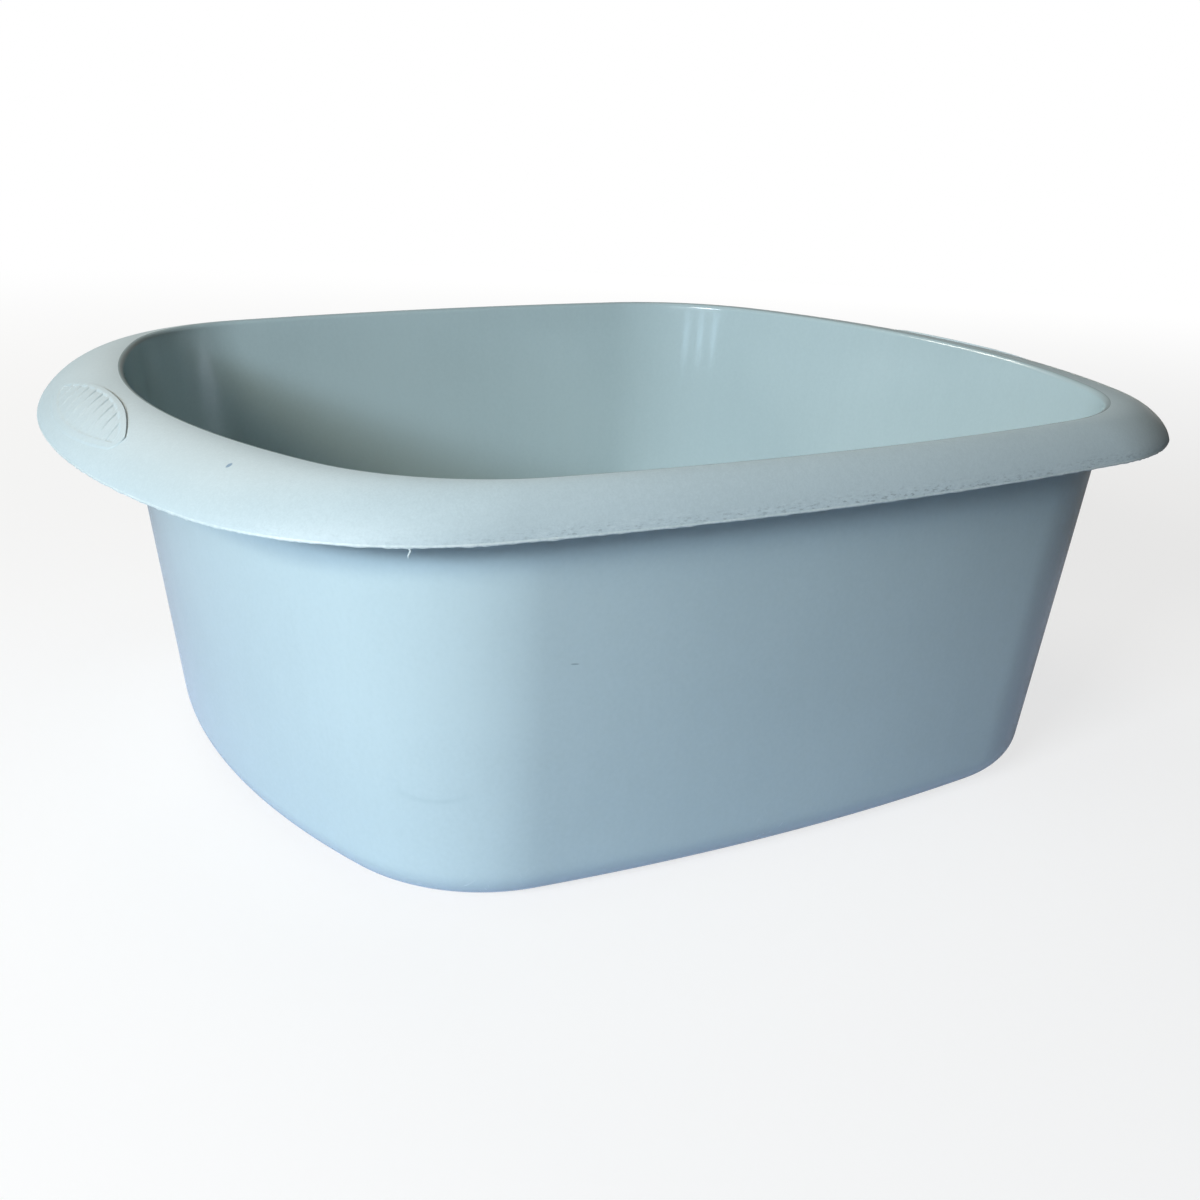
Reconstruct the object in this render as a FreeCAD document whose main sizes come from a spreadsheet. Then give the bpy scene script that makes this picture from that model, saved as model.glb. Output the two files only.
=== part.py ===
import FreeCAD, Part
import math
import os
import Sketcher

# A rectangular washing up bowl with bowed sides: one plastic moulding, divided into its zones.
# Millimetres. The origin is on the surface that the bowl stands on, under its middle. X runs
# along the bowl, through the thumb grips in its two ends, and Z is up.

doc = FreeCAD.newDocument("washing_up_bowl")

# Driving sizes
driving_sizes = {
    # Outer edge of the rim in plan: overall size, and the radii of its bowed sides and its corners.
    "rim_length": 400,
    "rim_width": 320,
    "rim_long_side_radius": 973,
    "rim_short_side_radius": 285,
    "rim_corner_radius": 84.6,
    # Crest: the highest line of the rim, and how far the rim reaches out and down from it.
    "crest_height": 137,
    "crest_long_side_radius": 791,
    "crest_short_side_radius": 253,
    "crest_corner_radius": 67.7,
    "end_overhang": 28.1,
    "side_overhang": 9.1,
    "rim_drop": 13.7,
    "lip_height": 6.5,
    # One thickness for the wall and the rim.
    "wall": 1.8,
    # Rolled edge: its step out from the wall, the flat beside its rounding, the straight part below.
    "edge_step": 0.5,
    "edge_flat": 0.3,
    "edge_skirt": 2,
    # Foot: the wall carried down to the ground, and how far it leans in there from the crest.
    "end_lean": 20.2,
    "side_lean": 14.5,
    "foot_long_side_radius": 803,
    "foot_short_side_radius": 268,
    "foot_corner_radius": 56.1,
    # Bend from the wall into the floor, and the flat foot between the bend and the floor panel.
    "base_round": 12,
    "foot_width": 4,
    "foot_height": 1.2,
    "floor_thickness": 2,
    # Thumb grip: a raised border round a leaf-shaped field of slanting ribs.
    "grip_length": 93,
    "grip_edge_margin": 3.25,
    "grip_crest_margin": 6.25,
    "grip_border": 2.2,
    "field_tip_radius": 0.75,
    "rib_pitch": 8.7,
    "rib_width": 2,
    # Relief of the grip, highest towards the bowl: its rise on the crest, and its fall below the edge.
    "border_rise": 0.7,
    "rib_rise": 0.5,
    "grip_sink": 0.15,
    # How far a cutting shape reaches past what it cuts.
    "overrun": 5,
}
rib_count = 9
rib_slant_degrees = 39
# Section of the rim, at its crest and at its edge: a half for both would make a quarter ellipse, and
# one for both a straight slope.
crest_slope_share = 0.5
edge_slope_share = 0.75
bend_degrees = (0, 15, 30, 45, 60, 75, 90)

sizes = doc.addObject("Spreadsheet::Sheet", "Sizes")
for row, (alias, millimetres) in enumerate(driving_sizes.items(), start=1):
    sizes.set(f"A{row}", alias)
    sizes.set(f"B{row}", str(millimetres))
    sizes.setAlias(f"B{row}", alias)
doc.recompute()


def size(expression):
    return float(sizes.evalExpression(expression))


# Outlines in plan: bowed rounded rectangles, whose sizes are expressions on the sheet
class Outline:
    def __init__(self, length, width, long_radius, short_radius, corner_radius):
        self.length = length
        self.width = width
        self.radii = (long_radius, short_radius, corner_radius)

    def inset(self, gap):
        """The parallel outline that lies this far inside."""
        spans = [f"({span} - 2 * ({gap}))" for span in (self.length, self.width)]
        return Outline(*spans, *(f"({radius} - ({gap}))" for radius in self.radii))

    def towards(self, other, share):
        """The outline at this share of the way to the other one."""
        mine = (self.length, self.width, *self.radii)
        theirs = (other.length, other.width, *other.radii)
        return Outline(*(f"({start} + ({share}) * ({end} - {start}))" for start, end in zip(mine, theirs)))


def zone_radii(zone):
    return [f"Sizes.{zone}_{place}_radius" for place in ("long_side", "short_side", "corner")]


rim = Outline("Sizes.rim_length", "Sizes.rim_width", *zone_radii("rim"))
crest_length = f"({rim.length} - 2 * Sizes.end_overhang)"
crest_width = f"({rim.width} - 2 * Sizes.side_overhang)"
crest = Outline(crest_length, crest_width, *zone_radii("crest"))
foot_length = f"({crest_length} - 2 * Sizes.end_lean)"
foot_width = f"({crest_width} - 2 * Sizes.side_lean)"
foot = Outline(foot_length, foot_width, *zone_radii("foot"))

rim_bottom = "(Sizes.crest_height - Sizes.rim_drop)"
edge_round = "(Sizes.wall + Sizes.edge_step - Sizes.edge_flat)"
edge_height = f"({edge_round} + Sizes.edge_skirt)"
wall_top_height = f"(Sizes.crest_height - {edge_height})"
wall_top = crest.inset("Sizes.edge_step")
floor_top = "(Sizes.foot_height + Sizes.floor_thickness)"
floor_edge = foot.inset("Sizes.base_round + Sizes.foot_width")


def wall_at(height):
    """The wall's outer face at this height."""
    return foot.towards(wall_top, f"{height} / {wall_top_height}")


def bind(sketch, constraint, expression):
    """Adds a constraint whose value follows an expression on the sheet."""
    index = sketch.addConstraint(constraint)
    name = f"size_{index}"
    sketch.renameConstraint(index, name)
    sketch.setExpression(f"Constraints.{name}", expression)


def draw_loop(sketch, half):
    """Arcs, each tangent to the next: half of a loop, then the same turned half round."""
    turned = [(-centre, radius, start + math.pi, end + math.pi) for centre, radius, start, end in half]
    arcs = []
    for centre, radius, start, end in [*half, *turned]:
        circle = Part.Circle(centre, FreeCAD.Vector(0, 0, 1), radius)
        arcs.append(sketch.addGeometry(Part.ArcOfCircle(circle, start, end)))
    for arc, next_arc in zip(arcs, arcs[1:] + arcs[:1]):
        sketch.addConstraint(Sketcher.Constraint("Tangent", arc, 2, next_arc, 1))
    return arcs


def set_span(sketch, arc, opposite, axis, span):
    """Sets the span between two opposite arcs, along the sketch's X or Y axis."""
    line, direction = {"X": (-1, FreeCAD.Vector(1, 0, 0)), "Y": (-2, FreeCAD.Vector(0, 1, 0))}[axis]
    half_span = size(span) / 2
    apex = sketch.addGeometry(Part.Point(direction * half_span), True)
    sketch.addConstraint(Sketcher.Constraint("PointOnObject", arc, 3, line))
    sketch.addConstraint(Sketcher.Constraint("PointOnObject", apex, 1, line))
    sketch.addConstraint(Sketcher.Constraint("PointOnObject", apex, 1, arc))
    sketch.addConstraint(Sketcher.Constraint("Symmetric", arc, 3, opposite, 3, -1, 1))
    sketch.addConstraint(Sketcher.Constraint("Equal", arc, opposite))
    bind(sketch, Sketcher.Constraint(f"Distance{axis}", -1, 1, apex, 1, half_span), f"{span} / 2")


def corner_centre(end_centre, end_reach, side_centre, side_reach):
    """The point, furthest out along X, that lies at these reaches from the two centres."""
    between = end_centre - side_centre
    along = (side_reach**2 - end_reach**2 + between.Length**2) / (2 * between.Length)
    across = math.sqrt(side_reach**2 - along**2)
    forward = FreeCAD.Vector(between).normalize()
    return side_centre + forward * along + FreeCAD.Vector(forward.y, -forward.x, 0) * across


def draw_outline(sketch, outline):
    """Bowed ends and sides with a round corner between each two."""
    long_radius, short_radius, corner_radius = (size(radius) for radius in outline.radii)
    end_centre = FreeCAD.Vector(size(outline.length) / 2 - short_radius, 0, 0)
    side_centre = FreeCAD.Vector(0, size(outline.width) / 2 - long_radius, 0)
    end_reach, side_reach = short_radius - corner_radius, long_radius - corner_radius
    corner = corner_centre(end_centre, end_reach, side_centre, side_reach)
    other_corner = FreeCAD.Vector(-corner.x, corner.y, 0)
    end_angle = math.atan2(corner.y, corner.x - end_centre.x)
    side_angle = math.atan2(corner.y - side_centre.y, corner.x)
    half = (
        (end_centre, short_radius, -end_angle, end_angle),
        (corner, corner_radius, end_angle, side_angle),
        (side_centre, long_radius, side_angle, math.pi - side_angle),
        (other_corner, corner_radius, math.pi - side_angle, math.pi - end_angle),
    )
    arcs = draw_loop(sketch, half)
    end, side, far_end, far_side = arcs[0::2]
    first_corner, *other_corners = arcs[1::2]
    set_span(sketch, end, far_end, "X", outline.length)
    set_span(sketch, side, far_side, "Y", outline.width)
    for equal_corner in other_corners:
        sketch.addConstraint(Sketcher.Constraint("Equal", first_corner, equal_corner))
    for arc, radius in zip((side, end, first_corner), outline.radii):
        bind(sketch, Sketcher.Constraint("Radius", arc, size(radius)), radius)


def draw_leaf(sketch, length, width, tip_radius):
    """Two bowed sides, with a round tip at each end of the Y axis."""
    tip = size(tip_radius)
    half_width = size(width) / 2
    tip_centre = size(length) / 2 - tip
    radius = (half_width**2 + tip_centre**2 - tip**2) / (2 * (half_width - tip))
    reach = math.atan2(tip_centre, radius - half_width)
    half = (
        (FreeCAD.Vector(half_width - radius, 0, 0), radius, -reach, reach),
        (FreeCAD.Vector(0, tip_centre, 0), tip, reach, math.pi - reach),
    )
    side, first_tip, far_side, far_tip = draw_loop(sketch, half)
    set_span(sketch, side, far_side, "X", width)
    set_span(sketch, first_tip, far_tip, "Y", length)
    bind(sketch, Sketcher.Constraint("Radius", first_tip, tip), tip_radius)


def new_body(label):
    body = doc.addObject("PartDesign::Body", label)
    body.Label = label
    return body


def body_sketch(body, name, height, *outlines):
    """A level sketch in the body, of one outline or of one inside another."""
    sketch = body.newObject("Sketcher::SketchObject", name)
    plane = next(plane for plane in body.Origin.OriginFeatures if plane.Role == "XY_Plane")
    sketch.AttachmentSupport = [(plane, "")]
    sketch.MapMode = "FlatFace"
    sketch.setExpression("AttachmentOffset.Base.z", height)
    for outline in outlines:
        draw_outline(sketch, outline)
    return sketch


def body_loft(body, kind, name, levels):
    """A loft in the body through (height, outline) levels."""
    sketches = [body_sketch(body, f"{name}_{i}", *level) for i, level in enumerate(levels)]
    loft = body.newObject(f"PartDesign::{kind}", name)
    loft.Profile = sketches[0]
    loft.Sections = sketches[1:]


# Floor panel: the flat floor, held clear of the ground by the foot around it
floor_panel = new_body("floor_panel")
floor_pad = floor_panel.newObject("PartDesign::Pad", "floor_pad")
floor_pad.Profile = body_sketch(floor_panel, "floor_outline", "Sizes.foot_height", floor_edge)
floor_pad.setExpression("Length", "Sizes.floor_thickness")


# Base ring: the bend from the floor up into the wall, with the flat foot that the bowl stands on
def bend_levels(bottom, inset):
    """Levels up a quarter-round bend, from this height to the wall's start, this far inside the wall."""
    radius = f"(Sizes.base_round - {bottom})"
    levels = []
    for degrees in bend_degrees:
        in_share = 1 - math.sin(math.radians(degrees))
        up_share = 1 - math.cos(math.radians(degrees))
        height = f"({bottom} + {up_share:.6f} * {radius})"
        levels.append((height, wall_at(height).inset(f"{inset} + {in_share:.6f} * {radius}")))
    return levels


base_ring = new_body("base_ring")
body_loft(base_ring, "AdditiveLoft", "base_block", bend_levels("0", "0"))
body_loft(base_ring, "SubtractiveLoft", "base_hollow", bend_levels(floor_top, "Sizes.wall"))
floor_opening = base_ring.newObject("PartDesign::Pocket", "floor_opening")
floor_opening.Profile = body_sketch(base_ring, "floor_opening_outline", "Sizes.base_round", floor_edge)
floor_opening.Type = "ThroughAll"

# Tub wall: leans out from the base ring to the rolled edge
tub_wall = new_body("tub_wall")
outside_levels = [("Sizes.base_round", wall_at("Sizes.base_round")), (wall_top_height, wall_top)]
inside_levels = [(height, outline.inset("Sizes.wall")) for height, outline in outside_levels]
body_loft(tub_wall, "AdditiveLoft", "wall_block", outside_levels)
body_loft(tub_wall, "SubtractiveLoft", "wall_hollow", inside_levels)

# Rolled edge: the wall's top, rounded over into the rim
rolled_edge = new_body("rolled_edge")
edge_pad = rolled_edge.newObject("PartDesign::Pad", "edge_pad")
edge_inside = wall_top.inset("Sizes.wall")
edge_pad.Profile = body_sketch(rolled_edge, "edge_outline", wall_top_height, crest, edge_inside)
edge_pad.setExpression("Length", edge_height)
doc.recompute()
top_face = max(edge_pad.Shape.Faces, key=lambda face: face.CenterOfMass.z)
outer_edges = top_face.OuterWire.Edges
inner_edges = [edge for edge in top_face.Edges if not any(edge.isSame(outer) for outer in outer_edges)]
edge_rounding = rolled_edge.newObject("PartDesign::Fillet", "edge_rounding")
edge_rounding.Base = (edge_pad, [f"Edge{edge_pad.Shape.findSubShape(edge)[1]}" for edge in inner_edges])
edge_rounding.setExpression("Radius", edge_round)
edge_undercut = rolled_edge.newObject("PartDesign::Pocket", "edge_undercut")
edge_undercut.Profile = body_sketch(rolled_edge, "undercut_outline", wall_top_height, crest, wall_top)
edge_undercut.setExpression("Length", f"{edge_height} - Sizes.wall")
edge_undercut.Reversed = True


# Rim: a convex sheet from the crest out and down, narrow at the sides and broad at the ends
def free_sketch(name, height, outline):
    sketch = doc.addObject("Sketcher::SketchObject", name)
    sketch.setExpression("Placement.Base.z", height)
    draw_outline(sketch, outline)
    return sketch


def rim_loft(name, edge, top, bottom):
    """The space under a surface like the rim's, through levels spaced along its rounded section."""
    sketches = []
    for i, degrees in enumerate(bend_degrees):
        angle = math.radians(degrees)
        out_share = math.sin(angle) ** (2 * crest_slope_share)
        down_share = 1 - max(math.cos(angle), 0) ** (2 * edge_slope_share)
        height = f"{top} + {down_share:.6f} * ({bottom} - {top})"
        sketches.append(free_sketch(f"{name}_{i}", height, crest.towards(edge, f"{out_share:.6f}")))
    loft = doc.addObject("Part::Loft", name)
    loft.Sections = sketches
    loft.Solid = True
    return loft


def combine(kind, name, base, tool):
    result = doc.addObject(f"Part::{kind}", name)
    result.Base = base
    result.Tool = tool
    return result


def prism(name, sketch, height):
    solid = doc.addObject("Part::Extrusion", name)
    solid.Base = sketch
    solid.DirMode = "Normal"
    solid.setExpression("LengthFwd", height)
    solid.Solid = True
    return solid


rim_crown = rim_loft("rim_crown", rim, "Sizes.crest_height", rim_bottom)
rim_hollow = rim_loft("rim_hollow", rim.inset("Sizes.wall"), "(Sizes.crest_height - Sizes.wall)", rim_bottom)
tub_opening_outline = free_sketch("tub_opening_outline", f"{rim_bottom} - Sizes.overrun", crest)
tub_opening = prism("tub_opening", tub_opening_outline, "Sizes.rim_drop + 2 * Sizes.overrun")
rim_sheet = combine("Cut", "rim_sheet", combine("Cut", "rim_shell", rim_crown, rim_hollow), tub_opening)
lip_space = doc.addObject("Part::Box", "lip_space")
lip_space.setExpression("Length", f"{rim.length} + 2 * Sizes.overrun")
lip_space.setExpression("Width", f"{rim.width} + 2 * Sizes.overrun")
lip_space.setExpression("Height", "Sizes.lip_height + Sizes.overrun")
lip_space.setExpression("Placement.Base.x", f"-{rim.length} / 2 - Sizes.overrun")
lip_space.setExpression("Placement.Base.y", f"-{rim.width} / 2 - Sizes.overrun")
lip_space.setExpression("Placement.Base.z", f"{rim_bottom} - Sizes.overrun")

# Rim flange and rim lip: the sheet's broad top, and its edge turned down all round, in four quarters
# that meet face to face in the middle of each side and end
rim_flange = combine("Cut", "rim_flange", rim_sheet, lip_space)
lip_quarters = []
for left, front in ((True, True), (False, True), (False, False), (True, False)):
    place = len(lip_quarters)
    quarter = doc.addObject("Part::Box", f"quarter_space_{place}")
    quarter.setExpression("Length", f"{rim.length} / 2 + Sizes.overrun")
    quarter.setExpression("Width", f"{rim.width} / 2 + Sizes.overrun")
    quarter.setExpression("Height", "Sizes.lip_height + Sizes.overrun")
    if left:
        quarter.setExpression("Placement.Base.x", f"-{rim.length} / 2 - Sizes.overrun")
    if front:
        quarter.setExpression("Placement.Base.y", f"-{rim.width} / 2 - Sizes.overrun")
    quarter.setExpression("Placement.Base.z", f"{rim_bottom} - Sizes.overrun")
    lip_quarters.append(combine("Common", f"lip_quarter_{place}", rim_sheet, quarter))
rim_lip = doc.addObject("Part::Compound", "rim_lip")
rim_lip.Links = lip_quarters

# Thumb grips: a raised leaf-shaped border on each end of the rim, with slanting ribs inside it
grip_width = "(Sizes.end_overhang - Sizes.grip_edge_margin - Sizes.grip_crest_margin)"
grip_middle = f"(Sizes.grip_edge_margin + {grip_width} / 2 - {rim.length} / 2)"


def skin_on_rim(name, rise):
    """The layer on the rim that is thickest towards the bowl and runs out towards the rim's edge."""
    top, bottom = f"(Sizes.crest_height + {rise})", f"({rim_bottom} - Sizes.grip_sink)"
    raised = rim_loft(f"{name}_top", rim, top, bottom)
    return combine("Cut", name, raised, rim_crown)


def leaf_prism(name, length, width, tip_radius):
    """Upright leaf through the rim's end."""
    sketch = doc.addObject("Sketcher::SketchObject", f"{name}_outline")
    sketch.setExpression("Placement.Base.x", grip_middle)
    sketch.setExpression("Placement.Base.z", rim_bottom)
    draw_leaf(sketch, length, width, tip_radius)
    return prism(name, sketch, "Sizes.rim_drop + Sizes.overrun")


def rib_bars():
    """Upright bars across the leaf, all at one slant to the rim's run."""
    turn_degrees = 90 - rib_slant_degrees
    along_share, across_share = math.cos(math.radians(turn_degrees)), math.sin(math.radians(turn_degrees))
    back_x = f"{along_share} * {grip_width} - {across_share} * Sizes.rib_width / 2"
    back_y = f"{across_share} * {grip_width} + {along_share} * Sizes.rib_width / 2"
    bars = []
    for i in range(rib_count):
        bar = doc.addObject("Part::Box", f"rib_bar_{i}")
        bar.setExpression("Length", f"2 * {grip_width}")
        bar.setExpression("Width", "Sizes.rib_width")
        bar.setExpression("Height", "Sizes.rim_drop + Sizes.overrun")
        bar.Placement.Rotation = FreeCAD.Rotation(FreeCAD.Vector(0, 0, 1), turn_degrees)
        bar.setExpression("Placement.Base.x", f"{grip_middle} - ({back_x})")
        bar.setExpression("Placement.Base.y", f"{i - (rib_count - 1) / 2} * Sizes.rib_pitch - ({back_y})")
        bar.setExpression("Placement.Base.z", rim_bottom)
        bars.append(bar)
    group = doc.addObject("Part::Compound", "rib_bars")
    group.Links = bars
    return group


def mirrored(name, source):
    """The same shape at the bowl's other end."""
    copy = doc.addObject("Part::Mirroring", name)
    copy.Source = source
    copy.Normal = FreeCAD.Vector(1, 0, 0)
    return copy


leaf = leaf_prism("leaf", "Sizes.grip_length", grip_width, "(Sizes.field_tip_radius + Sizes.grip_border)")
field_spans = [f"({span} - 2 * Sizes.grip_border)" for span in ("Sizes.grip_length", grip_width)]
rib_field = leaf_prism("rib_field", *field_spans, "Sizes.field_tip_radius")
border_band = combine("Cut", "border_band", leaf, rib_field)
border_skin = skin_on_rim("border_skin", "Sizes.border_rise")
left_grip_border = combine("Common", "left_grip_border", border_skin, border_band)
field_bars = combine("Common", "field_bars", rib_bars(), rib_field)
rib_skin = skin_on_rim("rib_skin", "Sizes.rib_rise")
left_grip_ribs = combine("Common", "left_grip_ribs", rib_skin, field_bars)
right_grip_border = combine("Common", "right_grip_border", border_skin, mirrored("right_band", border_band))
right_grip_ribs = combine("Common", "right_grip_ribs", rib_skin, mirrored("right_bars", field_bars))

# One file for each piece, once everything has been built and is sound
doc.recompute()
pieces = (
    floor_panel,
    base_ring,
    tub_wall,
    rolled_edge,
    rim_flange,
    rim_lip,
    left_grip_border,
    left_grip_ribs,
    right_grip_border,
    right_grip_ribs,
)
failed = [thing.Name for thing in doc.Objects if {"Invalid", "Error"} & set(thing.State)]
if failed:
    raise RuntimeError(f"not built: {failed}")
for piece in pieces:
    if piece.Shape.isNull() or not piece.Shape.isValid():
        raise RuntimeError(f"bad shape: {piece.Label}")
os.makedirs("parts", exist_ok=True)
for piece in pieces:
    piece.Shape.exportStep(f"parts/{piece.Label}.step")
    print(piece.Label, len(piece.Shape.Solids), "solids", round(piece.Shape.Volume), "mm3")
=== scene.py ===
import math

import bpy
import numpy as np
from mathutils import Matrix, Vector


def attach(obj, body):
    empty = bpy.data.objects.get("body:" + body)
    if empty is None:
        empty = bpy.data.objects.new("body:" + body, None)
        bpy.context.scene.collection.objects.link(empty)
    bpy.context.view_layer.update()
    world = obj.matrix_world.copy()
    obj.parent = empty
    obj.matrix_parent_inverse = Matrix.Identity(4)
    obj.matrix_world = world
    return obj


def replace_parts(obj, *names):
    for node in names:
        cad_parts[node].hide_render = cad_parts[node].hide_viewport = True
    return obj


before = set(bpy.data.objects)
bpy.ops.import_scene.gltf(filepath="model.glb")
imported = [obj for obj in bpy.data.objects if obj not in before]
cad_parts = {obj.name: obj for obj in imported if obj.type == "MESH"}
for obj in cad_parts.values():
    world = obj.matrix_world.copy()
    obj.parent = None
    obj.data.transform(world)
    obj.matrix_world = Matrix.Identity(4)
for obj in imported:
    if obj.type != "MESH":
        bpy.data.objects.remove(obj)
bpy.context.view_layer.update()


# Tub: the floor, the bend round it, the leaning wall and the rounded top edge of the bowl.
# Pale duck-egg polypropylene with a polished satin face, thin and slightly uneven as moulded.
# It is one moulding with the rim, and stands on the narrow flat foot under the bend.
# Sizes are in millimetres. An outline is its length, width, side radius, end radius and corner radius.
mm = 0.001
crest_height = 137
rim_bottom = 123.3
wall = 1.8
crest = np.array([343.8, 301.8, 791, 253, 67.7])
foot = np.array([303.4, 272.8, 803, 268, 56.1])
wall_top_height = 133
base_round = 12
foot_width = 4
floor_underside = 1.2
floor_top = 3.2
lean = math.radians(7.4)
edge_round = 2.0


def inset(outline, gap):
    """The parallel outline this far inside."""
    return outline - gap * np.array([2, 2, 1, 1, 1])


wall_top = inset(crest, 0.5)


def wall_at(height):
    return foot + (wall_top - foot) * height / wall_top_height


def ring(outline, height, end_steps=36, corner_steps=44, side_steps=36):
    """Points round a bowed rectangle: bowed ends and sides, and a round corner between each two."""
    length, width, side_radius, end_radius, corner_radius = outline
    end_centre = np.array([length / 2 - end_radius, 0])
    side_centre = np.array([0, width / 2 - side_radius])
    end_reach, side_reach = end_radius - corner_radius, side_radius - corner_radius
    between = end_centre - side_centre
    apart = np.linalg.norm(between)
    along = (side_reach**2 - end_reach**2 + apart**2) / (2 * apart)
    across = math.sqrt(side_reach**2 - along**2)
    forward = between / apart
    corner = side_centre + forward * along + np.array([forward[1], -forward[0]]) * across
    end_angle = math.atan2(corner[1], corner[0] - end_centre[0])
    side_angle = math.atan2(corner[1] - side_centre[1], corner[0])
    quarter = []
    for centre, radius, start, stop, steps in (
        (end_centre, end_radius, 0, end_angle, end_steps),
        (corner, corner_radius, end_angle, side_angle, corner_steps),
        (side_centre, side_radius, side_angle, math.pi / 2, side_steps),
    ):
        angles = np.linspace(start, stop, steps, endpoint=False)
        quarter.append(centre + radius * np.stack([np.cos(angles), np.sin(angles)], 1))
    quarter = np.concatenate(quarter)
    turned = np.concatenate([quarter[1:], [[0, width / 2]]])[::-1] * (-1, 1)
    half = np.concatenate([quarter, turned])
    flat = np.concatenate([half, -half])
    return np.column_stack([flat, np.full(len(flat), height)])


def skin(name, rows, start=None, stop=None):
    """A mesh through rings of points, closed into a loop, or onto a point at its start and its stop."""
    rows = np.array(rows)
    count, around = rows.shape[:2]
    points = rows.reshape(-1, 3)
    faces = []
    row_pairs = [(i, i + 1) for i in range(count - 1)]
    if start is None:
        row_pairs.append((count - 1, 0))
    columns = [(j, (j + 1) % around) for j in range(around)]
    for i, above in row_pairs:
        for j, beside in columns:
            faces.append((i * around + j, i * around + beside, above * around + beside, above * around + j))
    if start is not None:
        first, last = len(points), len(points) + 1
        top = (count - 1) * around
        points = np.concatenate([points, [start, stop]])
        faces += [(first, beside, j) for j, beside in columns]
        faces += [(last, top + j, top + beside) for j, beside in columns]
    return solid(name, points, faces)


def solid(name, points, faces):
    """An object of these points, in millimetres, smooth but for its true edges."""
    mesh = bpy.data.meshes.new(name)
    mesh.from_pydata((np.array(points) * mm).tolist(), [], faces)
    mesh.shade_smooth()
    mesh.set_sharp_from_angle(angle=math.radians(35))
    mesh.validate()
    thing = bpy.data.objects.new(name, mesh)
    bpy.context.scene.collection.objects.link(thing)
    return thing


def feed(inlet, value):
    """Links a shade into a socket, or sets the socket's own value."""
    if isinstance(value, Shade):
        value.tree.links.new(value.socket, inlet)
    else:
        inlet.default_value = value


class Shade:
    """A socket in a finish's nodes. Sums on values add Math nodes."""

    def __init__(self, tree, socket=None):
        self.tree = tree
        self.socket = socket

    def node(self, kind, settings=None, outlet=0, **inlets):
        """Adds a node of any kind: its settings first, then its sockets' values or links."""
        made = self.tree.nodes.new(f"ShaderNode{kind}")
        for name, setting in (settings or {}).items():
            setattr(made, name, setting)
        for name, value in inlets.items():
            inlet = next(i for i in made.inputs if i.enabled and name in (i.identifier, i.name.replace(" ", "_")))
            feed(inlet, value)
        return Shade(self.tree, [o for o in made.outputs if o.enabled][outlet])

    def sum(self, operation, first, second):
        made = self.node("Math", {"operation": operation})
        for inlet, value in zip(made.socket.node.inputs, (first, second)):
            feed(inlet, value)
        return made

    def __add__(self, other):
        return self.sum("ADD", self, other)

    def __radd__(self, other):
        return self.sum("ADD", other, self)

    def __sub__(self, other):
        return self.sum("SUBTRACT", self, other)

    def __rsub__(self, other):
        return self.sum("SUBTRACT", other, self)

    def __mul__(self, other):
        return self.sum("MULTIPLY", self, other)

    def __rmul__(self, other):
        return self.sum("MULTIPLY", other, self)

    def ramp(self, low, high):
        """Nought below the low value, one above the high one, and smooth between them."""
        settings = {"interpolation_type": "SMOOTHSTEP"}
        return self.node("MapRange", settings, Value=self, From_Min=low, From_Max=high)

    def tint(self, colour, other):
        """One colour where this mask is nought, the other where it is one."""
        return self.node("Mix", {"data_type": "RGBA"}, Factor=self, A=colour, B=other)

    def noise(self, scale, detail=2.0, roughness=0.5):
        return self.node("TexNoise", Vector=self, Scale=scale, Detail=detail, Roughness=roughness)

    def stretched(self, scale, turn=(0, 0, 0)):
        """These coordinates, turned and then scaled on each axis."""
        turned = self.node("VectorRotate", {"rotation_type": "EULER_XYZ"}, Vector=self, Rotation=turn)
        return self.node("VectorMath", {"operation": "MULTIPLY"}, Vector=turned, Vector_001=scale)

    def spot(self, middle, reach, turn=(0, 0, 0)):
        """One inside an ellipsoid about this middle, and nought outside it, with a soft edge."""
        settings = {"vector_type": "TEXTURE"}
        local = self.node("Mapping", settings, Vector=self, Location=middle, Rotation=turn, Scale=reach)
        return 1 - self.node("VectorMath", {"operation": "LENGTH"}, Vector=local).ramp(0.6, 1.0)


def finish(name):
    """A new material: its coordinates in metres, and its main shader."""
    material = bpy.data.materials.new(name)
    material.use_nodes = True
    tree = material.node_tree
    shader = next(node for node in tree.nodes if node.type == "BSDF_PRINCIPLED")
    place = Shade(tree).node("TexCoord", outlet=3)
    return material, shader, place


def dress(shader, **inlets):
    """Links or sets the shader's own sockets."""
    for name, value in inlets.items():
        feed(shader.inputs[name.replace("_", " ")], value)


tub_rows = []
floor_edge = inset(foot, base_round + foot_width)
for share in (0.03, 0.1, 0.25, 0.45, 0.65, 0.85, 0.96, 0.995):
    tub_rows.append(ring(floor_edge * share, floor_underside))
tub_rows += [ring(floor_edge, floor_underside), ring(floor_edge, 0.2), ring(inset(floor_edge, -0.2), 0)]
for degrees in np.linspace(0, 90, 19):
    up = base_round * (1 - math.cos(math.radians(degrees)))
    inward = base_round * (1 - math.sin(math.radians(degrees)))
    tub_rows.append(ring(inset(wall_at(up), inward), up))
for height in np.linspace(base_round, wall_top_height, 25)[1:]:
    tub_rows.append(ring(wall_at(height), height))
tub_rows += [ring(wall_top, crest_height - wall), ring(crest, crest_height - wall), ring(crest, crest_height)]
edge_middle = 2.3 - 2 * math.tan(lean) - edge_round / math.cos(lean)
for angle in np.linspace(math.pi / 2, lean, 15):
    gap = edge_middle + edge_round * math.cos(angle)
    height = crest_height - edge_round + edge_round * math.sin(angle)
    tub_rows.append(ring(inset(crest, gap), height))
for height in np.linspace(base_round, wall_top_height, 25)[::-1]:
    tub_rows.append(ring(inset(wall_at(height), wall), height))
inside_round = base_round - floor_top
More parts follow.
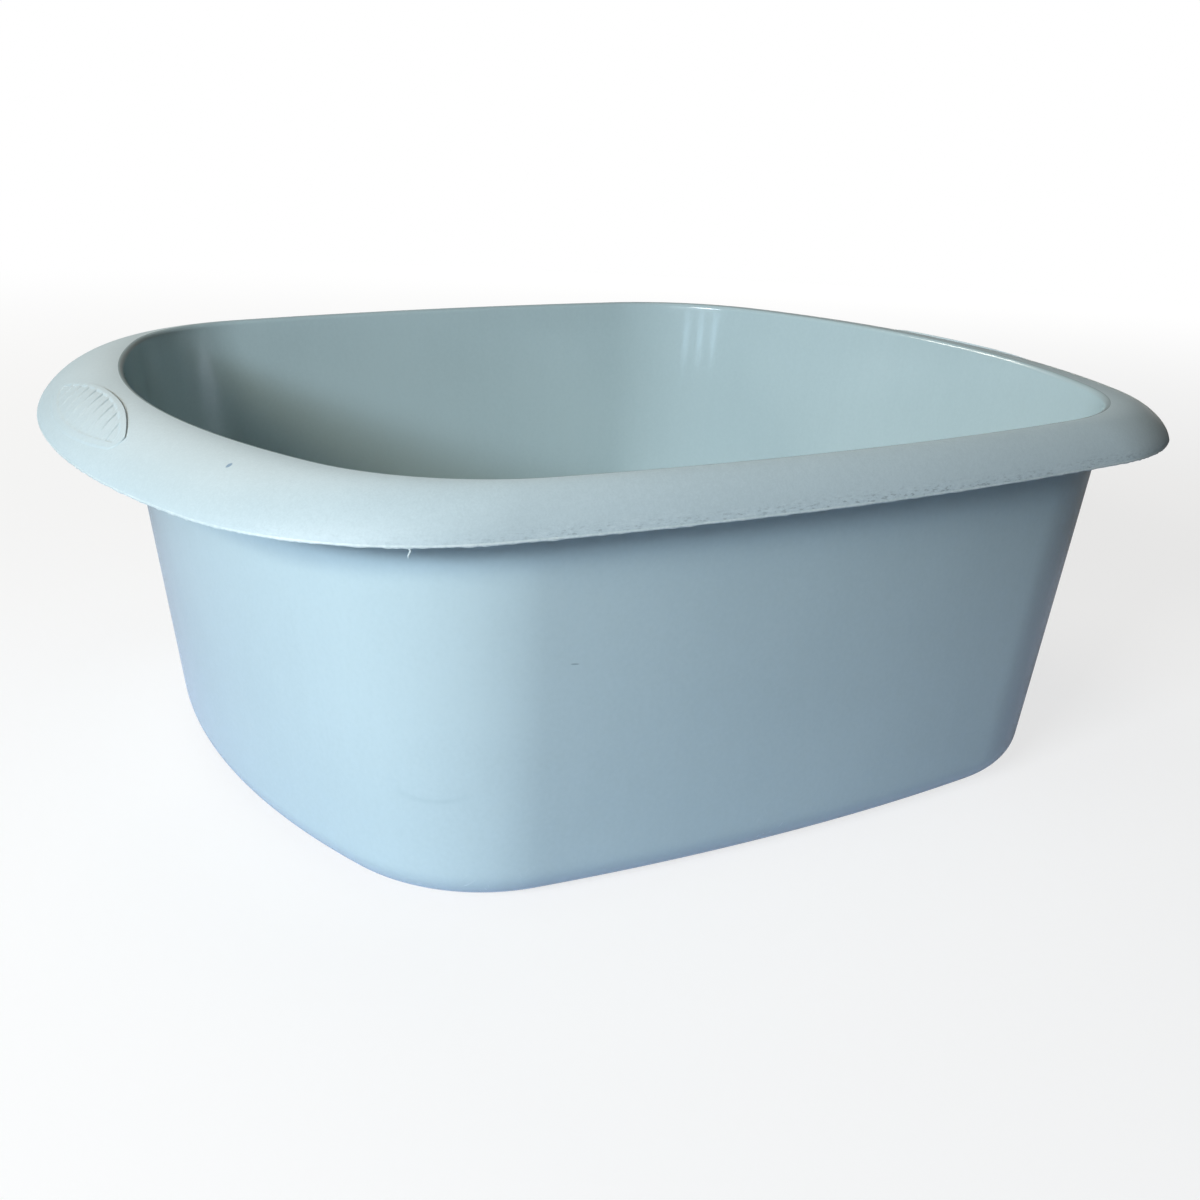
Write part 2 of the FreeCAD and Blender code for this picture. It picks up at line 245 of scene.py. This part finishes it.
for degrees in np.linspace(90, 0, 19)[1:]:
    up = floor_top + inside_round * (1 - math.cos(math.radians(degrees)))
    inward = wall + inside_round * (1 - math.sin(math.radians(degrees)))
    tub_rows.append(ring(inset(wall_at(up), inward), up))
floor_inside = inset(wall_at(floor_top), wall + inside_round)
for share in (0.99, 0.96, 0.85, 0.65, 0.45, 0.25, 0.1, 0.03):
    tub_rows.append(ring(floor_inside * share, floor_top))
tub = skin("tub", tub_rows, (0, 0, floor_underside), (0, 0, floor_top))

smooth_plastic, shader, place = finish("smooth_plastic")
up = place.node("SeparateXYZ", outlet=2, Vector=place)
cloud = place.noise(11, 3)
speckle = place.noise(700, 2)
streak = place.stretched((190, 190, 7)).noise(1, 2, 0.5)
hair = place.stretched((1500, 26, 300), (0.3, 0.5, 0.5)).noise(1, 2).ramp(0.66, 0.74)
hair = hair + place.stretched((40, 1300, 300), (0.4, 0.2, 0.9)).noise(1, 2).ramp(0.67, 0.75)
scuff = hair * place.noise(24, 1).ramp(0.5, 0.66) * (0.06 + 0.94 * (1 - up.ramp(0.004, 0.02)))
nick = place.spot((-0.0838, -0.1404, 0.0804), (0.0016, 0.002, 0.0003), (0, 0.12, 0.1))
rub = place.spot((-0.1195, -0.1225, 0.0395), (0.012, 0.014, 0.0042), (0, -0.05, 0))
rub = rub * (1 - place.spot((-0.1195, -0.1225, 0.0408), (0.0125, 0.0145, 0.0042), (0, -0.05, 0)))
tone = cloud * 0.6 + streak * 0.1 + speckle * 0.3
colour = tone.ramp(0.3, 0.7).tint((0.425, 0.538, 0.556, 1), (0.462, 0.578, 0.594, 1))
colour = (scuff * 0.4).tint(colour, (0.6, 0.69, 0.7, 1))
colour = (nick * 0.55).tint(colour, (0.16, 0.22, 0.24, 1))
colour = (rub * 0.14).tint(colour, (0.2, 0.3, 0.34, 1))
height = streak * 0.2 + place.noise(1500, 2) * 0.35 + cloud * 3
dress(
    shader,
    Base_Color=colour,
    Roughness=0.1 + cloud * 0.06 + scuff * 0.2 + speckle * 0.03,
    Normal=height.node("Bump", Strength=0.35, Distance=0.00006, Height=height),
    IOR=1.49,
)
tub.data.materials.append(smooth_plastic)
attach(tub, "root")
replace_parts(tub, "floor_panel", "base_ring", "tub_wall", "rolled_edge")


# Rim: the convex flange that runs out from the tub's top edge and turns down all round.
# The same polypropylene with a fine matt grain from the mould, scuffed rough along its lower edge.
# It is moulded on to the tub, narrow at the sides and broad at the ends where it is held.
rim = np.array([400, 320, 973, 285, 84.6])
crest_slope_share = 0.5
edge_slope_share = 0.75
rim_drop = crest_height - rim_bottom
lip_round = 0.5


def rim_section(angle):
    """How far out and down the rim has come, as shares of its whole reach."""
    out = math.sin(angle) ** (2 * crest_slope_share)
    down = 1 - max(math.cos(angle), 0) ** (2 * edge_slope_share)
    return out, down


rim_rows = []
for angle in np.radians([0, 1.5, 3, 4.5, 6, 8, *range(10, 80, 2), *range(80, 91)]):
    out, down = rim_section(angle)
    rim_rows.append(ring(crest + (rim - crest) * out, crest_height - down * (rim_drop - lip_round)))
for degrees in (18, 36, 54, 72, 90):
    sine, cosine = math.sin(math.radians(degrees)), math.cos(math.radians(degrees))
    rim_rows.append(ring(inset(rim, lip_round * (1 - cosine)), rim_bottom + lip_round * (1 - sine)))
rim_under = inset(rim, wall)
rim_rows.append(ring(inset(rim_under, -0.4), rim_bottom))
rim_rows.append(ring(inset(rim_under, -0.1), rim_bottom + 0.1))
for angle in np.radians([*range(90, 10, -4), 10, 7, 4, 2, 0]):
    out, down = rim_section(angle)
    under_drop = rim_drop - wall - 0.4
    rim_rows.append(ring(crest + (rim_under - crest) * out, crest_height - wall - down * under_drop))
rim_piece = skin("rim", rim_rows)

grained_plastic, shader, place = finish("grained_plastic")
up = place.node("SeparateXYZ", outlet=2, Vector=place)
cloud = place.noise(14, 3)
grain = place.noise(1700, 3, 0.6)
coarse = place.noise(620, 3, 0.65)
patch = place.noise(13, 3).ramp(0.36, 0.62)
front = place.spot((0.015, -0.160, 0.126), (0.17, 0.02, 0.02))
worn = (1 - up.ramp(0.1237, 0.1295)) * (0.1 + 0.3 * patch + 0.6 * front)
fleck = place.stretched((420, 520, 1500)).noise(1, 3, 0.7)
stain = place.spot((-0.1675, -0.094, 0.1350), (0.0015, 0.0009, 0.002), (0, 0, 0.645))
tone = cloud * 0.35 + grain * 0.4 + coarse * 0.25
colour = tone.ramp(0.36, 0.64).tint((0.472, 0.566, 0.585, 1), (0.528, 0.623, 0.642, 1))
colour = (worn * fleck.ramp(0.52, 0.66) * 0.75).tint(colour, (0.6, 0.69, 0.7, 1))
colour = (worn * worn * (1 - fleck.ramp(0.35, 0.46)) * 0.85).tint(colour, (0.24, 0.3, 0.315, 1))
colour = (stain * 0.75).tint(colour, (0.06, 0.17, 0.3, 1))
height = grain * 0.7 + coarse * 0.5 + worn * fleck * 1.6
dress(
    shader,
    Base_Color=colour,
    Roughness=0.5 + grain * 0.12 + worn * 0.1,
    Normal=height.node("Bump", Strength=0.5, Distance=0.00011, Height=height),
    IOR=1.49,
    Diffuse_Roughness=0.15,
)
rim_piece.data.materials.append(grained_plastic)
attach(rim_piece, "root")
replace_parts(rim_piece, "rim_flange", "rim_lip")


# Lip flash: the ragged thread of plastic left along the rim's lower edge where the mould closes.
# It is the rim's plastic squeezed thin, and it stands out less than half a millimetre; its paler colour is a
# painted highlight.
# It runs all round the edge, roughest on the front, with one loose whisker near a corner.
flash_steps = (150, 180, 150)
chance = np.random.default_rng(11)
lip_line = ring(rim, rim_bottom, *flash_steps)
count = len(lip_line)


def ragged(reach):
    """Uneven values round the lip, from nought to one, smooth over this many points."""
    weights = np.hanning(reach + 2)[1:-1]
    wrapped = np.fft.ifft(np.fft.fft(chance.random(count)) * np.fft.fft(weights / weights.sum(), count)).real
    return (wrapped - wrapped.min()) / np.ptp(wrapped)


rough = 0.25 + 0.75 * ragged(260)
tear = rough * (0.35 * ragged(14) + 0.65 * ragged(4) ** 2)
flash_rows = []
for inward, rise, out_tear, down_tear in (
    (0.6, 0.3, 0, 0),
    (0.15, 0.75, 0, 0),
    (-0.06, 0.42, 0.05, 0),
    (-0.12, 0.1, 0.2, 0.15),
    (0.02, -0.12, 0.15, 0.6),
    (0.3, -0.06, 0, 0.35),
):
    near = ring(inset(rim, inward), rim_bottom + rise, *flash_steps)
    far = ring(inset(rim, inward - 1), rim_bottom + rise, *flash_steps)
    row = near + (far - near) * (out_tear * tear)[:, None]
    row[:, 2] -= down_tear * tear
    flash_rows.append(row)
lip_flash = skin("lip_flash", flash_rows)
whisker_line = np.array([(-136.9, -146.2, 123.5), (-136.9, -146.7, 122.9), (-136.6, -146.9, 122.3),
                         (-136.9, -146.9, 121.7), (-137.3, -147.0, 121.2), (-137.3, -147.1, 120.6)])
whisker_rows = []
for point, thick in zip(whisker_line, (0.3, 0.32, 0.3, 0.26, 0.24, 0.16)):
    turns = np.linspace(0, 2 * math.pi, 8, endpoint=False)
    whisker_rows.append(point + thick * np.column_stack([np.cos(turns), np.sin(turns), np.zeros(8)]))
whisker = skin("flash_whisker", whisker_rows[::-1], whisker_line[-1] - (0, 0, 0.08), whisker_line[0])

# Flash colour: paler than the rim's, a painted highlight for the bright line where the thin edge catches the
# light.
flash_plastic, shader, place = finish("flash_plastic")
tone = place.noise(900, 2) * 0.6 + place.noise(60, 2) * 0.4
colour = tone.ramp(0.3, 0.7).tint((0.5, 0.6, 0.605, 1), (0.63, 0.71, 0.71, 1))
dress(shader, Base_Color=colour, Roughness=0.4 + tone * 0.2, IOR=1.49)
for piece in (lip_flash, whisker):
    piece.data.materials.append(flash_plastic)
    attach(piece, "root")


# Thumb grips: a raised leaf-shaped border round slanting ribs, one on each end of the rim.
# The rim's own grained plastic, raised about two thirds of a millimetre with soft moulded edges.
# They are moulded with the rim, so each one is bedded into its top.
grip_middle = -187.45
leaf_half_width = 9.3
leaf_half_length = 46.5
leaf_tip = 2.95
leaf_border = 2.2
border_rise = 0.7
least_rise = 0.3
rib_dip = 0.1
groove_depth = 0.42
grip_sink = 0.15
rib_pitch = 8.7
rib_half_width = 1
rib_slant = math.radians(39)
leaf_tip_middle = leaf_half_length - leaf_tip
leaf_radius = (leaf_half_width**2 + leaf_tip_middle**2 - leaf_tip**2) / (2 * (leaf_half_width - leaf_tip))
leaf_reach = math.atan2(leaf_tip_middle, leaf_radius - leaf_half_width)


def rim_fall(x, y):
    """Share of the rim's drop at a place near its ends, from the share of the way out."""
    half_crest, half_rim = crest[0] / 2, rim[0] / 2
    share = np.full_like(x, 0.5)
    for _ in range(30):
        radius = crest[3] + share * (rim[3] - crest[3])
        reach = half_crest + share * (half_rim - half_crest)
        miss = np.hypot(np.abs(x) - (reach - radius), y) - radius
        share = np.clip(share + miss / (half_rim - half_crest), 0, 1)
    angle = np.arcsin(share ** (1 / (2 * crest_slope_share)))
    return 1 - np.cos(angle) ** (2 * edge_slope_share)


def leaf_gap(across, along):
    """Distance outside the leaf's edge, or below nought inside it."""
    across, along = np.abs(across), np.abs(along)
    arm = leaf_radius - leaf_half_width
    beside = np.hypot(across + arm, along) - leaf_radius
    beyond = np.hypot(across, along - leaf_tip_middle) - leaf_tip
    return np.where(np.arctan2(along, across + arm) <= leaf_reach, beside, beyond)


def soft_step(value, low, high):
    share = np.clip((value - low) / (high - low), 0, 1)
    return share * share * (3 - 2 * share)


def grip_relief(across, along, fall):
    """How far the border and the ribs stand above the rim, which is most towards the bowl."""
    gap = leaf_gap(across, along)
    top = np.maximum(border_rise - fall * (border_rise + grip_sink), least_rise)
    slope_x, slope_y = math.sin(rib_slant), math.cos(rib_slant)
    sideways = across * slope_y - along * slope_x
    period = rib_pitch * slope_x
    from_rib = np.abs((sideways + period / 2) % period - period / 2)
    groove = soft_step(from_rib, rib_half_width - 0.3, rib_half_width + 0.3)
    field = soft_step(-gap, leaf_border - 0.5, leaf_border + 0.5)
    inner = soft_step(across, -7, 6)
    depth = groove_depth * (0.25 + 0.75 * inner)
    dip = rib_dip * (1.9 - 1.4 * inner)
    return soft_step(-gap, -0.3, 0.2) * top - field * (dip + groove * np.minimum(depth, 0.6 * top))


def thumb_grip(name, side):
    """A closed patch on the rim, from its bed in the plastic to the top of the border and ribs."""
    skirt, bed_depth, buried = 0.7, 0.8, 0.12
    columns, bed_columns = 80, 8
    tip = leaf_half_length + skirt
    lines = tip * np.sin(np.linspace(-math.pi / 2, math.pi / 2, 420)[1:-1])
    arm = leaf_radius - leaf_half_width
    body = np.sqrt((leaf_radius + skirt) ** 2 - lines**2) - arm
    end = np.sqrt(np.maximum((leaf_tip + skirt) ** 2 - np.maximum(np.abs(lines) - leaf_tip_middle, 0) ** 2, 0))
    turn = (leaf_radius + skirt) * math.sin(leaf_reach)
    half = np.where(np.abs(lines) <= turn, body, end)

    def layer(count, lift):
        shares = np.linspace(-1, 1, count + 1)
        across = half[:, None] * shares
        along = np.repeat(lines[:, None], count + 1, 1)
        across = np.concatenate([[0], across.ravel(), [0]])
        along = np.concatenate([[-tip], along.ravel(), [tip]])
        x = grip_middle + across
        fall = rim_fall(x, along)
        rim_top = crest_height - (rim_drop - lip_round) * fall
        return np.column_stack([x, along, rim_top + lift(across, along, fall)])

    def faces_of(count, first, flip):
        made = []
        wide = count + 1
        rows = len(lines)
        for i in range(rows - 1):
            for j in range(count):
                a = first + 1 + i * wide + j
                made.append((a, a + 1, a + wide + 1, a + wide))
        last = first + 1 + rows * wide
        for j in range(count):
            made.append((first, first + 2 + j, first + 1 + j))
            made.append((last, last - wide + j, last - wide + j + 1))
        return [face[::-1] for face in made] if flip else made

    def bury(across, along, fall):
        return grip_relief(across, along, fall) - buried * soft_step(leaf_gap(across, along), 0.3, skirt)

    top = layer(columns, bury)
    bed = layer(bed_columns, lambda across, along, fall: np.full_like(across, -bed_depth))
    faces = faces_of(columns, 0, False) + faces_of(bed_columns, len(top), True)
    edges = []
    for count, first in ((columns, 0), (bed_columns, len(top))):
        wide, rows = count + 1, len(lines)
        left = [first + 1 + i * wide for i in range(rows)]
        right = [first + i * wide + wide for i in range(rows)]
        edges.append([first, *right, first + 1 + rows * wide, *left[::-1]])
    upper, lower = edges
    for i in range(len(upper)):
        j = (i + 1) % len(upper)
        faces.append((upper[j], upper[i], lower[i], lower[j]))
    points = np.concatenate([top, bed])
    if side > 0:
        points[:, 0] *= -1
        faces = [face[::-1] for face in faces]
    grip = solid(name, points, faces)
    grip.data.materials.append(grained_plastic)
    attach(grip, "root")
    return grip


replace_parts(thumb_grip("left_thumb_grip", -1), "left_grip_border", "left_grip_ribs")
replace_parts(thumb_grip("right_thumb_grip", 1), "right_grip_border", "right_grip_ribs")


# Floor: the pale sheet that the bowl stands on, and the pale surroundings.
# Not part of the bowl.
floor_mesh = bpy.data.meshes.new("floor")
reach, under = 30, -0.0002
corners = [(x * reach, y * reach, under) for x, y in ((-1, -1), (1, -1), (1, 1), (-1, 1))]
floor_mesh.from_pydata(corners, [], [(0, 1, 2, 3)])
floor = bpy.data.objects.new("floor", floor_mesh)
bpy.context.scene.collection.objects.link(floor)
pale_sheet, shader, place = finish("pale_sheet")
camera_ray, glossy_ray, clear_ray = (place.node("LightPath", outlet=which) for which in (0, 3, 6))
from_middle = place.node("VectorMath", {"operation": "LENGTH"}, Vector=place)
thrown_back = from_middle.ramp(0.26, 0.46).tint((0.54, 0.62, 0.82, 1), (0.06, 0.06, 0.06, 1))
dress(shader, Base_Color=camera_ray.tint(thrown_back, (0.95, 0.95, 0.95, 1)), Roughness=0.9)
white = place.node("Emission", Color=(1, 1, 1, 1), Strength=1.0)
far_off = from_middle.ramp(0.35, 1.6)
near_white, gloss_share = 0.74, 0.15
shown_white = camera_ray * (near_white + (1 - near_white) * far_off) + glossy_ray * gloss_share + clear_ray
lit_sheet = Shade(place.tree, shader.outputs[0])
paper = place.node("MixShader", Fac=shown_white, Shader=lit_sheet, Shader_001=white)
dress(next(node for node in place.tree.nodes if node.type == "OUTPUT_MATERIAL"), Surface=paper)
floor_mesh.materials.append(pale_sheet)

world = bpy.data.worlds.new("studio")
bpy.context.scene.world = world
world.use_nodes = True
background = next(node for node in world.node_tree.nodes if node.type == "BACKGROUND")
sky = Shade(world.node_tree)
camera_ray, glossy_ray, clear_ray = (sky.node("LightPath", outlet=which) for which in (0, 3, 6))
seen = camera_ray + glossy_ray * gloss_share + clear_ray
dress(background, Color=seen.tint((0.012, 0.012, 0.012, 1), (1, 1, 1, 1)))


# Light: a window on the left in two panes, cool below and warm above, with three narrow panes under it,
# a small card in front, a strip behind that draws the bright line along the crest, a weak warm card
# overhead that reaches the bowl's floor, and another low on the far right that lifts the shaded end.
# A level of one lights a white sheet that faces the lamp to white.
def soft_lamp(name, azimuth, elevation, distance, wide, tall, level, colour):
    lamp = bpy.data.lights.new(name, "AREA")
    lamp.shape = "RECTANGLE"
    lamp.size, lamp.size_y = wide, tall
    lamp.energy = level * (math.pi * distance) ** 2
    lamp.color = colour
    turn, rise = math.radians(azimuth), math.radians(elevation)
    towards = Vector((math.sin(turn) * math.cos(rise), -math.cos(turn) * math.cos(rise), math.sin(rise)))
    thing = bpy.data.objects.new(name, lamp)
    thing.location = towards * distance + Vector((0, 0, 0.1))
    thing.rotation_mode = "QUATERNION"
    thing.rotation_quaternion = (-towards).to_track_quat("-Z", "Y")
    bpy.context.scene.collection.objects.link(thing)


soft_lamp("window_lower_pane", -64, 18.5, 1.6, 0.55, 0.18, 0.71, (0.75, 0.86, 1.0))
soft_lamp("window_upper_pane", -62, 26, 1.6, 0.55, 0.18, 0.35, (1.0, 0.925, 0.77))
soft_lamp("front_card", -40, 20, 0.9, 0.35, 0.16, 0.15, (0.84, 0.92, 1.0))
for azimuth in (-47, -60, -73):
    soft_lamp("low_pane", azimuth, 4.5, 1.4, 0.1, 0.16, 0.018, (0.55, 0.8, 1.0))
soft_lamp("back_strip", -168, 36, 1.5, 0.8, 0.13, 0.28, (1.0, 0.93, 0.82))
soft_lamp("ceiling_card", 0, 88, 1.2, 0.5, 0.5, 0.07, (1.0, 0.95, 0.85))
soft_lamp("far_card", 140, -1.5, 1.5, 1.6, 0.1, 0.22, (1.0, 0.95, 0.86))


# Camera: at the viewing angle of the picture, whose image is 1200 by 1200 pixels.
image = 1200
pixels_per_radian = 1393.99
axis_across, axis_down = 518.0, 547.49
azimuth, elevation, roll = (math.radians(angle) for angle in (-27.51, 17.63, 1.41))
distance = 0.53855
target = Vector((-0.02966, 0, 0.06686))
outward = math.cos(elevation)
back = Vector((math.sin(azimuth) * outward, -math.cos(azimuth) * outward, math.sin(elevation)))
level = Vector((0, 0, 1)).cross(back).normalized()
upright = back.cross(level)
right_hand = math.cos(roll) * level + math.sin(roll) * upright
head_up = math.cos(roll) * upright - math.sin(roll) * level
lens = bpy.data.cameras.new("camera")
lens.sensor_fit = "HORIZONTAL"
lens.lens = lens.sensor_width * pixels_per_radian / image
lens.shift_x = 0.5 - axis_across / image
lens.shift_y = axis_down / image - 0.5
lens.clip_start, lens.clip_end = 0.01, 100
camera = bpy.data.objects.new("camera", lens)
bpy.context.scene.collection.objects.link(camera)
turned = Matrix((right_hand, head_up, back)).transposed().to_4x4()
camera.matrix_world = Matrix.Translation(target + distance * back) @ turned
bpy.context.scene.camera = camera
bpy.context.scene.view_settings.view_transform = "Standard"
